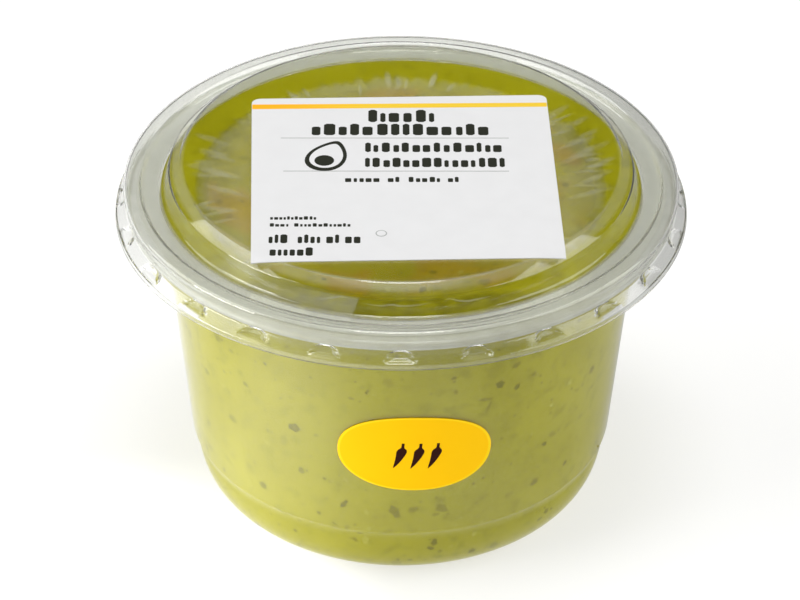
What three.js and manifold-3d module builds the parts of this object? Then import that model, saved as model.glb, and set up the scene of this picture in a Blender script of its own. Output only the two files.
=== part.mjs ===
// Guacamole in its clear deli tub. The tub is a thin tapered bowl with a step above its heel and a flat
// sealing flange, filled with dip to the flange. A clear film closes it, and a clear lid with a raised
// centre snaps over the flange. A square label lies on the lid, and an oval sticker on the tub's front.
// Millimetres, +Z up, the origin at the middle of the base, the sticker towards -Y.
import * as THREE from 'three';
import { mergeVertices } from 'three/addons/utils/BufferGeometryUtils.js';
import Module from 'manifold-3d';

// ---- driving dimensions ----
const SEGMENTS = 48; // sides of every turned piece

// tub
const TUB_WALL = 0.8;
const BASE_RISE = 1.0; // the middle of the base is pushed up by this much
const BASE_RISE_R = 25;
const FOOT_IN_R = 27.5;
const FOOT_OUT_R = 34.6;
const HEEL_TOP_R = 43.3;
const HEEL_TOP_Z = 12.8;
const HEEL_POWER = 2.46; // 2 is an ellipse; more makes the heel squarer
const HEEL_STEPS = 6;
const STEP_R = 44.3; // the wall stands out over the heel here
const STEP_Z = 14.0;
const FLANGE_UNDER_Z = 68.8;
const WALL_TOP_R = 49.35;
const FLANGE_OUT_R = 54.4;
const CURL_END_Z = 67.9;

// contents and film
const FILL_GAP = 0.1;
const FILL_TOP_Z = 69.5;
const DISH_EDGE_R = 42.0; // outside this ring the dip touches the film
const DISH_R = 39.5;
const DISH_DEPTH = 1.2;
const FILM_UNDER_Z = 69.65;
const FILM_TOP_Z = 69.9;
const FILM_R = 54.0;

// lid
const LID_WALL = 0.5;
const PLATEAU_Z = 76.35;
const PLATEAU_R = 44.95;
const SHOULDER_R = 47.35;
const SHOULDER_Z = 74.5;
const CHANNEL_Z = 70.5;
const CHANNEL_IN_R = 48.4;
const CHANNEL_OUT_R = 52.2;
const CREST_Z = 72.2;
const CREST_IN_R = 53.2;
const CREST_OUT_R = 56.9;
const GROOVE_R = 56.15;
const GROOVE_Z = 67.8;
const FLARE_R = 58.35;
const FLARE_Z = 65.9;
const LIP_R = 58.5;
const LIP_Z = 65.0;

// snap lugs inside the lid's flare, which catch under the tub's flange
const LUG_COUNT = 24;
const LUG_WIDTH = 5.2;
const LUG_TOP_R = 56.3;
const LUG_TOP_Z = 67.45;
const LUG_TIP_R = 54.9;
const LUG_TIP_Z = 67.3;
const LUG_FOOT_R = 57.75;
const LUG_FOOT_Z = 66.0;

// label on the lid
const LABEL_W = 61.4;
const LABEL_D = 61.8;
const LABEL_CORNER = 1.8;
const LABEL_THICK = 0.2;
const LABEL_GAP = 0.05;
const LABEL_X = 0.5;
const LABEL_Y = -6.8;
const LABEL_TURN = 0.033; // radians

// oval sticker on the tub
const STICKER_HALF_W = 15.6;
const STICKER_HALF_H = 9.6;
const STICKER_POWER = 2.2; // a slightly squared oval
const STICKER_ARC_X = 2.95; // along the wall from the front line
const STICKER_Z = 35.65;
const STICKER_TURN = -0.045; // radians
const STICKER_THICK = 0.2;
const STICKER_GAP = 0.15;
const STICKER_SIDES = 24;
const STICKER_RINGS = 4;

// ---- materials ----
const finish = (color, roughness, extra = {}) =>
  new THREE.MeshStandardMaterial({ color, roughness, metalness: 0, ...extra });
const clear = { transparent: true, opacity: 0.3 };
const MATERIALS = {
  tub: finish(0xe6ead8, 0.12, clear),
  guacamole: finish(0xb4b05a, 0.55),
  film: finish(0xf0f2e6, 0.2, clear),
  lid: finish(0xe4e8dc, 0.1, clear),
  label: finish(0xf4f3f5, 0.5),
  sticker: finish(0xffcc05, 0.4),
};

// ---- helpers ----
// A line in the (radius, height) plane through corners [r, z, cut], each corner chamfered by its cut.
function chamfered(corners) {
  const at = corners.map(([r, z]) => new THREE.Vector2(r, z));
  return corners.flatMap(([, , cut = 0], i) => {
    if (!cut) return [at[i]];
    const towards = (other) => at[i].clone().add(other.clone().sub(at[i]).setLength(cut));
    return [towards(at[i - 1]), towards(at[i + 1])];
  });
}

// The same line moved to its left by a wall thickness, with mitred corners; ends on the axis stay there.
function offsetLine(line, distance) {
  const normals = line.slice(1).map((p, i) => {
    const along = p.clone().sub(line[i]).normalize();
    return new THREE.Vector2(-along.y, along.x);
  });
  return line.map((p, i) => {
    const before = normals[Math.max(i - 1, 0)];
    const after = normals[Math.min(i, normals.length - 1)];
    const mitre = before.clone().add(after).normalize();
    const moved = p.clone().addScaledVector(mitre, distance / mitre.dot(after));
    if (p.x === 0) moved.x = 0;
    return moved;
  });
}

// A solid of revolution about +Z from a profile that starts and ends on the axis.
function turned(profile) {
  const geometry = new THREE.LatheGeometry(profile, SEGMENTS);
  return geometry.rotateX(Math.PI / 2);
}

function namedMesh(name, geometry, material) {
  const mesh = new THREE.Mesh(geometry, material);
  mesh.name = name;
  return mesh;
}

// ---- booleans ----
const wasm = await Module();
wasm.setup();

function toSolid(geometry) {
  const bare = geometry.clone();
  bare.deleteAttribute('normal');
  bare.deleteAttribute('uv');
  const merged = mergeVertices(bare, 1e-4);
  const mesh = new wasm.Mesh({
    numProp: 3,
    vertProperties: new Float32Array(merged.attributes.position.array),
    triVerts: new Uint32Array(merged.index.array),
  });
  mesh.merge();
  return new wasm.Manifold(mesh);
}

function toGeometry(solid) {
  const { vertProperties, triVerts } = solid.getMesh();
  const geometry = new THREE.BufferGeometry();
  geometry.setAttribute('position', new THREE.BufferAttribute(vertProperties, 3));
  geometry.setIndex(new THREE.BufferAttribute(triVerts, 1));
  geometry.computeVertexNormals();
  return geometry;
}

// ---- tub ----
const wallSlope = (WALL_TOP_R - STEP_R) / (FLANGE_UNDER_Z - STEP_Z);
const wallRadius = (z) => STEP_R + (z - STEP_Z) * wallSlope;

// The rounded heel, from the foot up to the step.
function heelCorners() {
  return Array.from({ length: HEEL_STEPS + 1 }, (_, i) => {
    const angle = (Math.PI / 2) * (i / HEEL_STEPS);
    const rise = 1 - Math.cos(angle) ** (2 / HEEL_POWER);
    return [FOOT_OUT_R + (HEEL_TOP_R - FOOT_OUT_R) * Math.sin(angle), HEEL_TOP_Z * rise];
  });
}

// The tub's outer skin from the middle of the base to the wall's top.
const bowlCorners = () => [
  [0, BASE_RISE],
  [BASE_RISE_R, BASE_RISE],
  [FOOT_IN_R, 0],
  ...heelCorners(),
  [STEP_R, STEP_Z],
];

function makeTub() {
  const outside = chamfered([
    ...bowlCorners(),
    [WALL_TOP_R, FLANGE_UNDER_Z, 0.8],
    [FLANGE_OUT_R, FLANGE_UNDER_Z, 0.4],
    [FLANGE_OUT_R, CURL_END_Z],
  ]);
  const inside = offsetLine(outside, TUB_WALL).reverse();
  return namedMesh('tub', turned([...outside, ...inside]), MATERIALS.tub);
}

// ---- contents ----
function makeGuacamole() {
  const top = new THREE.Vector2(wallRadius(FILL_TOP_Z), FILL_TOP_Z);
  const skin = offsetLine([...chamfered(bowlCorners()), top], TUB_WALL + FILL_GAP);
  skin.at(-1).y = FILL_TOP_Z;
  const surface = [
    [DISH_EDGE_R, FILL_TOP_Z],
    [DISH_R, FILL_TOP_Z - DISH_DEPTH],
    [0, FILL_TOP_Z - DISH_DEPTH],
  ];
  return namedMesh('guacamole', turned([...skin, ...chamfered(surface)]), MATERIALS.guacamole);
}

function makeFilm() {
  const profile = chamfered([
    [0, FILM_UNDER_Z],
    [FILM_R, FILM_UNDER_Z],
    [FILM_R, FILM_TOP_Z],
    [0, FILM_TOP_Z],
  ]);
  return namedMesh('seal_film', turned(profile), MATERIALS.film);
}

// ---- lid ----
function lidShell() {
  const top = chamfered([
    [0, PLATEAU_Z],
    [PLATEAU_R, PLATEAU_Z, 0.5],
    [SHOULDER_R, SHOULDER_Z, 0.6],
    [CHANNEL_IN_R, CHANNEL_Z, 0.6],
    [CHANNEL_OUT_R, CHANNEL_Z, 0.6],
    [CREST_IN_R, CREST_Z, 0.7],
    [CREST_OUT_R, CREST_Z, 1.1],
    [GROOVE_R, GROOVE_Z, 0.5],
    [FLARE_R, FLARE_Z],
    [LIP_R, LIP_Z],
  ]);
  const underside = offsetLine(top, -LID_WALL);
  return turned([...underside, ...top.reverse()]);
}

// One snap lug at the front: a shelf under the flange, with a ramp down to the flare's foot.
function lugGeometry() {
  const side = new THREE.Shape();
  side.moveTo(LUG_TOP_R, LUG_TOP_Z);
  side.lineTo(LUG_TIP_R, LUG_TIP_Z).lineTo(LUG_FOOT_R, LUG_FOOT_Z);
  const ramp = new THREE.ExtrudeGeometry(side, { depth: LUG_WIDTH, bevelEnabled: false });
  return ramp.translate(0, 0, -LUG_WIDTH / 2).rotateX(Math.PI / 2).rotateZ(-Math.PI / 2);
}

function makeLid() {
  let solid = toSolid(lidShell());
  for (let i = 0; i < LUG_COUNT; i += 1) {
    const lug = lugGeometry().rotateZ((2 * Math.PI * i) / LUG_COUNT);
    solid = solid.add(toSolid(lug));
  }
  return namedMesh('lid', toGeometry(solid), MATERIALS.lid);
}

// ---- label and sticker ----
function makeLabel() {
  const [w, d, c] = [LABEL_W / 2, LABEL_D / 2, LABEL_CORNER];
  const outline = new THREE.Shape();
  outline.moveTo(-w, -d).lineTo(w, -d).lineTo(w, d - c);
  outline.quadraticCurveTo(w, d, w - c, d);
  outline.lineTo(c - w, d);
  outline.quadraticCurveTo(-w, d, -w, d - c);
  const geometry = new THREE.ExtrudeGeometry(outline, {
    depth: LABEL_THICK,
    bevelEnabled: false,
    curveSegments: 3,
  });
  const mesh = namedMesh('lid_label', geometry, MATERIALS.label);
  mesh.position.set(LABEL_X, LABEL_Y, PLATEAU_Z + LABEL_GAP);
  mesh.rotation.z = LABEL_TURN;
  return mesh;
}

const signedPower = (value, power) => Math.sign(value) * Math.abs(value) ** power;

// A disc of rings is stretched into an oval, then wrapped round the tub's tapered wall.
function makeSticker() {
  const rings = Array.from({ length: STICKER_RINGS + 1 }, (_, i) => i / STICKER_RINGS);
  const back = rings.map((r) => new THREE.Vector2(r, 0));
  const front = rings.map((r) => new THREE.Vector2(r, STICKER_THICK)).reverse();
  const geometry = new THREE.LatheGeometry([...back, ...front], STICKER_SIDES).rotateX(Math.PI / 2);
  const place = geometry.attributes.position;
  const point = new THREE.Vector3();
  for (let i = 0; i < place.count; i += 1) {
    point.fromBufferAttribute(place, i);
    const ring = Math.hypot(point.x, point.y);
    const angle = Math.atan2(point.y, point.x);
    const u = STICKER_HALF_W * ring * signedPower(Math.cos(angle), 2 / STICKER_POWER);
    const v = STICKER_HALF_H * ring * signedPower(Math.sin(angle), 2 / STICKER_POWER);
    const along = STICKER_ARC_X + u * Math.cos(STICKER_TURN) - v * Math.sin(STICKER_TURN);
    const z = STICKER_Z + u * Math.sin(STICKER_TURN) + v * Math.cos(STICKER_TURN);
    const radius = wallRadius(z) + STICKER_GAP + point.z;
    const turn = along / wallRadius(STICKER_Z);
    place.setXYZ(i, radius * Math.sin(turn), -radius * Math.cos(turn), z);
  }
  geometry.computeVertexNormals();
  return namedMesh('tub_sticker', geometry, MATERIALS.sticker);
}

// ---- assembly ----
const group = new THREE.Group();
group.name = 'guacamole_tub';
group.add(makeTub(), makeGuacamole(), makeFilm(), makeLid(), makeLabel(), makeSticker());

export default group;
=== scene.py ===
# %% [markdown]
# # Guacamole in a clear deli tub
# A shop tub of guacamole is four kinds of thing at once: soft food, clear hard plastic, thin film and
# paper. This lesson builds each of them as its own piece, on top of a fixed CAD frame that says where
# everything is. The frame comes first, and nothing in it is moved.

# %% Load the fixed frame
import math

import bpy
import numpy as np
from mathutils import Matrix, Vector


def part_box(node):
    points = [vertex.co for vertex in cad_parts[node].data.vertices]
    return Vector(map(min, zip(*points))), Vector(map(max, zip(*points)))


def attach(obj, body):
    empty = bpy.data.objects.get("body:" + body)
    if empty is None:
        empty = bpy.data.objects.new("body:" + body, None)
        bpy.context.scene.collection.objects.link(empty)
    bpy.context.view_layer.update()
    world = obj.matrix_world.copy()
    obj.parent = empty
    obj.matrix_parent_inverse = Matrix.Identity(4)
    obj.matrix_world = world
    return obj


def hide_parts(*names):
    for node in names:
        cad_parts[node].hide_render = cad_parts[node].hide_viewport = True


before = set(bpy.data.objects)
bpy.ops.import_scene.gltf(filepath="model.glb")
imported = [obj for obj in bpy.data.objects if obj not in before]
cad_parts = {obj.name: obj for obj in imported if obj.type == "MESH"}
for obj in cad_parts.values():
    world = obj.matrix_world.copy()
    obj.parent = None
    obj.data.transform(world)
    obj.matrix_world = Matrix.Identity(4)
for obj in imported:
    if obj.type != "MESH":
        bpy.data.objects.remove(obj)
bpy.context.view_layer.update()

MM = 0.001
print("CAD nodes:", sorted(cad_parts))


def new_object(name, data):
    """An object in the scene, for a mesh, a light or a camera."""
    made = bpy.data.objects.new(name, data)
    bpy.context.scene.collection.objects.link(made)
    return made


# %% [markdown]
# ## Camera
# A long lens from about three quarters of a metre keeps the lid's rings close to true ellipses, as a
# product picture does. The camera looks down at the tub's axis, a little below its middle. A camera can
# be aimed with a constraint, but working out its turn from the pitch is exact and leaves nothing live.

# %% Place the camera
CAMERA_PITCH = math.radians(34.553)
CAMERA_ROLL = math.radians(0.205)
CAMERA_DISTANCE = 747.08 * MM
CAMERA_SIDE = -0.15 * MM
AIM_HEIGHT = 41.07 * MM
LENS_MM = 160.97
SENSOR_MM = 36

camera_data = bpy.data.cameras.new("camera")
camera_data.lens = LENS_MM
camera_data.sensor_width = SENSOR_MM
camera_data.clip_start = 10 * MM
camera = new_object("camera", camera_data)
camera_place = Vector((
    CAMERA_SIDE,
    -CAMERA_DISTANCE * math.cos(CAMERA_PITCH),
    AIM_HEIGHT + CAMERA_DISTANCE * math.sin(CAMERA_PITCH),
))
camera_turn = Matrix.Rotation(math.pi / 2 - CAMERA_PITCH, 4, "X") @ Matrix.Rotation(CAMERA_ROLL, 4, "Z")
camera.matrix_world = Matrix.Translation(camera_place) @ camera_turn
bpy.context.scene.camera = camera
print("camera stands at", [round(value, 3) for value in camera_place], "m")

# %% [markdown]
# ## Turned shapes
# The tub, its contents, the film and the lid are all round, so each is a line in the (radius, height)
# plane that is turned about the upright axis. Blender's Screw modifier does this too. A short function
# is used here because it also closes the poles and gives every face its right direction at once.
# Thermoformed plastic has no sharp corners, so every corner of a line is first rounded by an arc.

# %% Lines with rounded corners
ARC_STEP = math.radians(15)


def rounded(corners):
    """A line through (radius, height, fillet) corners in mm, with an arc of that fillet at each one."""
    points = [Vector((corner[0], corner[1])) for corner in corners]
    line = []
    for i, point in enumerate(points):
        fillet = corners[i][2] if len(corners[i]) > 2 else 0
        if not fillet:
            line.append(point)
            continue
        back = (points[i - 1] - point).normalized()
        ahead = (points[i + 1] - point).normalized()
        half = back.angle(ahead) / 2
        middle = point + (back + ahead).normalized() * fillet / math.sin(half)
        start = point + back * fillet / math.tan(half) - middle
        turn = math.pi - 2 * half
        side = math.copysign(1, ahead.cross(back))
        steps = max(2, math.ceil(turn / ARC_STEP))
        for k in range(steps + 1):
            line.append(middle + Matrix.Rotation(side * turn * k / steps, 2) @ start)
    return line


def divided(line, start, end, count):
    """The line with its straight stretch from the point nearest start to the next one split up."""
    first = min(range(len(line)), key=lambda i: (line[i] - Vector(start)).length)
    last = min(range(len(line)), key=lambda i: (line[i] - Vector(end)).length)
    between = [line[first].lerp(line[last], k / count) for k in range(1, count)]
    return line[: first + 1] + between + line[last:]


def offset(line, distance):
    """The line moved to its left by a distance, with mitred corners; ends on the axis stay on it."""
    normals = []
    for a, b in zip(line, line[1:]):
        along = (b - a).normalized()
        normals.append(Vector((-along.y, along.x)))
    shifted = []
    for i, point in enumerate(line):
        before = normals[max(i - 1, 0)]
        after = normals[min(i, len(normals) - 1)]
        mitre = (before + after).normalized()
        place = point + mitre * distance / mitre.dot(after)
        shifted.append(Vector((0 if point.x == 0 else place.x, place.y)))
    return shifted


# %% Turn a line into a closed mesh
AXIS_NEAR = 1e-6
ROUND_SHARP = math.radians(40)
SHEET_SHARP = math.radians(30)


def new_piece(name, vertices, faces, smooth_below=ROUND_SHARP):
    """A mesh object at the origin, smooth but for edges sharper than an angle."""
    mesh = bpy.data.meshes.new(name)
    mesh.from_pydata(vertices, [], faces)
    mesh.validate()
    mesh.shade_smooth()
    mesh.set_sharp_from_angle(angle=smooth_below)
    return new_object(name, mesh)


def turned(name, line, sides):
    """A closed solid turned about +Z. The line runs with its solid on the left, in mm."""
    vertices, rings = [], []
    for point in line:
        first = len(vertices)
        if point.x < AXIS_NEAR:
            vertices.append((0, 0, point.y * MM))
            rings.append([first] * sides)
            continue
        for k in range(sides):
            angle = 2 * math.pi * k / sides
            vertices.append(Vector((point.x * math.cos(angle), point.x * math.sin(angle), point.y)) * MM)
        rings.append(list(range(first, first + sides)))
    closed = line[0].x > AXIS_NEAR or line[-1].x > AXIS_NEAR
    pairs = list(zip(rings, rings[1:])) + ([(rings[-1], rings[0])] if closed else [])
    faces = []
    for low, high in pairs:
        for k in range(sides):
            face = [low[k], low[k - 1], high[k - 1], high[k]]
            face = [corner for i, corner in enumerate(face) if corner != face[i - 1]]
            if len(face) > 2:
                faces.append(face[::-1])
    return new_piece(name, vertices, faces)


def mark_points(mesh, name, values):
    """Stores a number for each point of a mesh, which a material or a tree can read by its name."""
    mesh.attributes.new(name, "FLOAT", "POINT").data.foreach_set("value", values)


def report(piece):
    """Prints how many triangles a piece has and its box in mm."""
    places = np.array([vertex.co for vertex in piece.data.vertices]) / MM
    triangles = sum(len(polygon.vertices) - 2 for polygon in piece.data.polygons)
    box = places.min(0).round(2), "to", places.max(0).round(2)
    print(piece.name, "has", triangles, "triangles, from", *box)


# %% [markdown]
# ## Materials from nodes
# Every finish below is a small node tree. A few helpers keep the code short. The first puts a node in a
# tree and fills its inputs with values or links, and the others are built on it: sums, products, parts
# of a vector, new materials. Groups hold what several finishes share, such as the uneven surface of
# moulded plastic and the colour of the dip.

# %% Helpers for nodes
def put(tree, kind, inputs=None, **settings):
    """Adds a node to a tree. inputs maps a socket's name or number to a value or to another socket."""
    made = tree.nodes.new(kind)
    for name, value in settings.items():
        setattr(made, name, value)
    for key, value in (inputs or {}).items():
        socket = made.inputs[key]
        if isinstance(value, bpy.types.NodeSocket):
            tree.links.new(value, socket)
        else:
            socket.default_value = value
    return made


def calc(tree, operation, *values):
    """A Math node, and its result."""
    return put(tree, "ShaderNodeMath", dict(enumerate(values)), operation=operation).outputs[0]


def times(tree, first, *others):
    """The product of several values."""
    for other in others:
        first = calc(tree, "MULTIPLY", first, other)
    return first


def plus(tree, first, *others):
    """The sum of several values."""
    for other in others:
        first = calc(tree, "ADD", first, other)
    return first


def vector(tree, operation, *inputs, **named):
    """A Vector Math node, and its result."""
    inputs = {**dict(enumerate(inputs)), **named}
    return put(tree, "ShaderNodeVectorMath", inputs, operation=operation).outputs[0]


def parts(tree, place):
    """The x, y and z of a vector."""
    return put(tree, "ShaderNodeSeparateXYZ", {0: place}).outputs


def own_place(tree):
    """In a material, the place on the piece in metres."""
    return put(tree, "ShaderNodeTexCoord").outputs["Object"]


def attribute(tree, name):
    """In a material, a number stored with the mesh."""
    return put(tree, "ShaderNodeAttribute", attribute_name=name).outputs["Fac"]


def blend(tree, factor, first, second):
    """A colour between two colours."""
    return put(tree, "ShaderNodeMix", {0: factor, 6: first, 7: second}, data_type="RGBA").outputs[2]


def remap(tree, value, low, high, to_low, to_high, smooth=False):
    """A value carried from one range to another, and held at its ends."""
    style = "SMOOTHSTEP" if smooth else "LINEAR"
    numbers = {0: value, 1: low, 2: high, 3: to_low, 4: to_high}
    return put(tree, "ShaderNodeMapRange", numbers, interpolation_type=style).outputs[0]


def noise(tree, place, size, detail=2.0, rough=0.5):
    """A noise texture with features of a real size in metres."""
    values = {"Vector": place, "Scale": 1 / size, "Detail": detail, "Roughness": rough}
    return put(tree, "ShaderNodeTexNoise", values).outputs[0]


def either(tree, share, first, second):
    """A mix of two shaders."""
    return put(tree, "ShaderNodeMixShader", {0: share, 1: first.outputs[0], 2: second.outputs[0]})


def bump(tree, strength, depth, pattern):
    """Small bumps of a depth in metres, as a normal."""
    values = {"Strength": strength, "Distance": depth, "Height": pattern}
    return put(tree, "ShaderNodeBump", values).outputs[0]


def shader_group(name, inputs, result, kind):
    """A new shader node group with number inputs and one result."""
    group = bpy.data.node_groups.new(name, "ShaderNodeTree")
    group.interface.new_socket(result, in_out="OUTPUT", socket_type="NodeSocket" + kind)
    for label, value in inputs.items():
        socket = group.interface.new_socket(label, in_out="INPUT", socket_type="NodeSocketFloat")
        socket.default_value = value
    return group, put(group, "NodeGroupInput").outputs


def new_material(name):
    """A material with an empty tree."""
    material = bpy.data.materials.new(name)
    material.use_nodes = True
    material.node_tree.nodes.clear()
    return material, material.node_tree


def surfaced(material, shader):
    """The material, with a shader as its surface."""
    put(material.node_tree, "ShaderNodeOutputMaterial", {"Surface": shader.outputs[0]})
    return material


def matt(material, colour, roughness, shine, more=None):
    """The material, with an opaque surface that shines a little."""
    values = {"Base Color": colour, "Roughness": roughness, "Specular IOR Level": shine, **(more or {})}
    return surfaced(material, put(material.node_tree, "ShaderNodeBsdfPrincipled", values))


# %% Shared group: an uneven value over a surface
def make_uneven():
    """Noise at a real size in metres, put out as a value around 1."""
    group, given = shader_group("uneven", {"Size": 0.004, "Amount": 0.2, "Detail": 3.0}, "Value", "Float")
    pattern = put(group, "ShaderNodeTexNoise", {
        "Vector": own_place(group),
        "Scale": calc(group, "DIVIDE", 1.0, given["Size"]),
        "Detail": given["Detail"],
    })
    swing = times(group, calc(group, "SUBTRACT", pattern.outputs[0], 0.5), given["Amount"], 2.0)
    put(group, "NodeGroupOutput", {"Value": plus(group, 1.0, swing)})
    return group


uneven_group = make_uneven()


def uneven(tree, size, amount, detail=3.0):
    """A value around 1 that changes over the surface."""
    values = {"Size": size, "Amount": amount, "Detail": detail}
    return put(tree, "ShaderNodeGroup", values, node_tree=uneven_group).outputs["Value"]


print("shared shader groups:", [group.name for group in bpy.data.node_groups])

# %% [markdown]
# ## Clear plastic
# Deli tubs are thermoformed from a sheet of clear plastic. The walls bend light a little, mirror the
# room at their edges and are never quite even. A Principled shader with full transmission gives all of
# that. Light that only passes through on its way to the food is let straight through by a Transparent
# shader, picked by the Light Path node, so that the food isn't left in the dark.

# %% Values that change with the distance from the axis
BEHIND = (10 * MM, 45 * MM)
HAZE_BEHIND = 0.7
SHADE_BEHIND = 0.1


def from_axis(tree, place):
    """How far a place is from the upright axis, in metres."""
    flat = vector(tree, "MULTIPLY", place, (1, 1, 0))
    return put(tree, "ShaderNodeVectorMath", {0: flat}, operation="LENGTH").outputs["Value"]


def outwards(tree, place):
    """The level direction from the upright axis to a place."""
    return vector(tree, "NORMALIZE", vector(tree, "MULTIPLY", place, (1, 1, 0)))


def by_radius(tree, steps):
    """A value that changes at some radii. steps are (from mm, to mm, change)."""
    radius = from_axis(tree, own_place(tree))
    changes = []
    for start, end, change in steps:
        changes.append(remap(tree, radius, start * MM, end * MM, 0.0, change, smooth=True))
    return plus(tree, *changes)


def less_behind(tree, least):
    """1 at the front of the tub, and least at its back."""
    return remap(tree, parts(tree, own_place(tree))[1], *BEHIND, 1.0, least, smooth=True)


# %% Clear plastic
PLASTIC_IOR = 1.46
HAZE_COLOUR = (0.78, 0.79, 0.76, 1)
HAZE_ROUGH = 0.35
# Each way to be uneven is the size of its noise, and by how much it changes a value.
WAVES_DIFFER = 0.5
CLEAR_UNEVEN = (3 * MM, 0.6)
MILKY_UNEVEN = (2 * MM, 0.3)
HAZE_UNEVEN = (5 * MM, 0.35)
RIM_PASSES = (0.80, 0.80, 0.76, 1)
RIM = (48.3 * MM, 49.3 * MM)


def clear_plastic(name, tint, roughness, wave_height, wave_size, haze):
    """A clear moulded plastic. tint colours it, the waves are those of its surface, and haze says how
    milky it is at each radius."""
    material, tree = new_material(name)
    clear = put(tree, "ShaderNodeBsdfPrincipled", {
        "Base Color": tint,
        "Roughness": times(tree, roughness, uneven(tree, *CLEAR_UNEVEN)),
        "IOR": PLASTIC_IOR,
        "Transmission Weight": 1.0,
        "Normal": bump(tree, 1.0, wave_height, uneven(tree, wave_size, WAVES_DIFFER)),
    })
    milky = put(tree, "ShaderNodeBsdfPrincipled", {
        "Base Color": HAZE_COLOUR,
        "Roughness": times(tree, HAZE_ROUGH, uneven(tree, *MILKY_UNEVEN)),
    })
    share = times(tree, by_radius(tree, haze), uneven(tree, *HAZE_UNEVEN), less_behind(tree, HAZE_BEHIND))
    seen = either(tree, share, clear, milky)
    rim = remap(tree, from_axis(tree, own_place(tree)), *RIM, 0.0, 1.0)
    rim = times(tree, rim, less_behind(tree, SHADE_BEHIND))
    straight = put(tree, "ShaderNodeBsdfTransparent", {"Color": blend(tree, rim, tint, RIM_PASSES)})
    path = put(tree, "ShaderNodeLightPath").outputs
    lit = calc(tree, "MAXIMUM", path["Is Shadow Ray"], path["Is Diffuse Ray"])
    return surfaced(material, either(tree, lit, seen, straight))


# The wall's haze starts at the step, so the heel below it stays clear and darker: painted shade, for the
# floor's shadow that the heel mirrors. The flange's haze is its own milky white.
TUB_HAZE = [(43.2, 44.2, 0.025), (49.2, 50.0, 0.45)]
LID_HAZE = [
    (44.0, 44.8, 0.055),
    (46.0, 46.8, -0.055),
    (48.6, 49.2, 0.12),
    (52.8, 53.6, -0.07),
    (56.4, 57.2, -0.045),
    (58.2, 58.4, 0.12),
]
TUB_TINT = (0.97, 0.975, 0.95, 1)
LID_TINT = (0.93, 0.935, 0.91, 1)
tub_plastic = clear_plastic("tub_plastic", TUB_TINT, 0.05, 0.02 * MM, 6 * MM, TUB_HAZE)
lid_plastic = clear_plastic("lid_plastic", LID_TINT, 0.06, 0.015 * MM, 7 * MM, LID_HAZE)

# %% [markdown]
# ## Tub
# The tub is one thin shell: a base pushed up in its middle, a foot ring, a rounded heel, a small step
# where the tapered wall begins, and a flat flange with a short curl that the lid snaps over. The heel is
# a quarter of a superellipse, which fills its corner better than a circle does.

# %% Tub
SIDES = 288
TUB_WALL = 0.8
FOOT_IN_R = 27.5
FOOT_OUT_R = 34.6
HEEL_R = 43.3
HEEL_Z = 12.8
HEEL_POWER = 2.46
HEEL_STEPS = 20
STEP_R = 44.3
STEP_Z = 14.0
WALL_TOP_R = 49.35
FLANGE_Z = 68.8
FLANGE_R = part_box("tub")[1].x / MM
CURL_Z = 67.9
BASE_RISE = 1.0
BASE_RISE_R = 25.0
wall_slope = (WALL_TOP_R - STEP_R) / (FLANGE_Z - STEP_Z)


def wall_radius(height):
    """The outer radius of the tub's wall at a height, in mm."""
    return STEP_R + (height - STEP_Z) * wall_slope


def heel_line():
    """The heel from just past the foot to just under the step."""
    line = []
    for k in range(1, HEEL_STEPS + 1):
        angle = math.pi / 2 * k / HEEL_STEPS
        rise = 1 - math.cos(angle) ** (2 / HEEL_POWER)
        line.append((FOOT_OUT_R + (HEEL_R - FOOT_OUT_R) * math.sin(angle), HEEL_Z * rise))
    return line


def bowl_corners():
    """The tub's outer skin from the middle of its base to the step."""
    base = [(0, BASE_RISE), (BASE_RISE_R, BASE_RISE, 1.5), (FOOT_IN_R, 0, 0.9), (FOOT_OUT_R, 0)]
    return base + heel_line() + [(STEP_R, STEP_Z, 1.1)]


def make_tub():
    """The outside line and its offset, turned together."""
    outside = rounded(bowl_corners() + [
        (WALL_TOP_R, FLANGE_Z, 0.9),
        (FLANGE_R, FLANGE_Z, 0.4),
        (FLANGE_R, CURL_Z),
    ])
    piece = turned("clear_tub", outside + offset(outside, TUB_WALL)[::-1], SIDES)
    piece.data.materials.append(tub_plastic)
    return piece


tub = make_tub()
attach(tub, "root")
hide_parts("tub")
report(tub)

# %% [markdown]
# ## Colour of the dip
# Guacamole is a mash, so its green is never flat: paler and yellower where the flesh is ripe, darker
# where skin or herb is near, and browner in a few places where air has reached it. Three sizes of noise
# give that. Dark patches along the front of the top are painted shade. The same group colours the
# flecks' rims, so that a fleck melts into the dip around it.

# %% Shared group: the dip's colour
DIP_GREEN = (0.36, 0.333, 0.003, 1)
DIP_PALE = (0.43, 0.40, 0.009, 1)
DIP_DEEP = (0.28, 0.265, 0.001, 1)
DIP_BROWN = (0.42, 0.30, 0.002, 1)
# The darkest green is painted shade, laid in patches along the front of the top.
DIP_PAINTED_SHADE = (0.145, 0.13, 0.001, 1)
OPEN_R = 41.0  # inside this radius the dip hangs free of the film, in mm
OPEN_SOFT = 3.0
TOP_FROM = (67.5 * MM, 68.0 * MM)
# Where that painted shade starts at the front, and how strong it gets.
PAINTED_SHADE_FROM = (-34 * MM, -41 * MM)
PAINTED_SHADE_MOST = 0.9
# Each pattern is the size of its noise, two levels of the noise, and the shares they stand for.
BROAD = (14 * MM, 0.35, 0.65, 0.0, 0.6)
MASH = (3.2 * MM, 0.5, 0.75, 0.0, 0.7)
FINE = (1.1 * MM, 0.35, 0.7, 0.0, 0.35)
AIRED = (11 * MM, 0.45, 0.62, 0.15, 1.0)
PAINTED_SHADE_PATCHES = (3 * MM, 0.35, 0.6, 0.7, 1.0)


def patches(tree, place, pattern, detail=2.0, smooth=True):
    """How strongly a pattern shows at a place."""
    size, *levels = pattern
    return remap(tree, noise(tree, place, size, detail), *levels, smooth=smooth)


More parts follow.
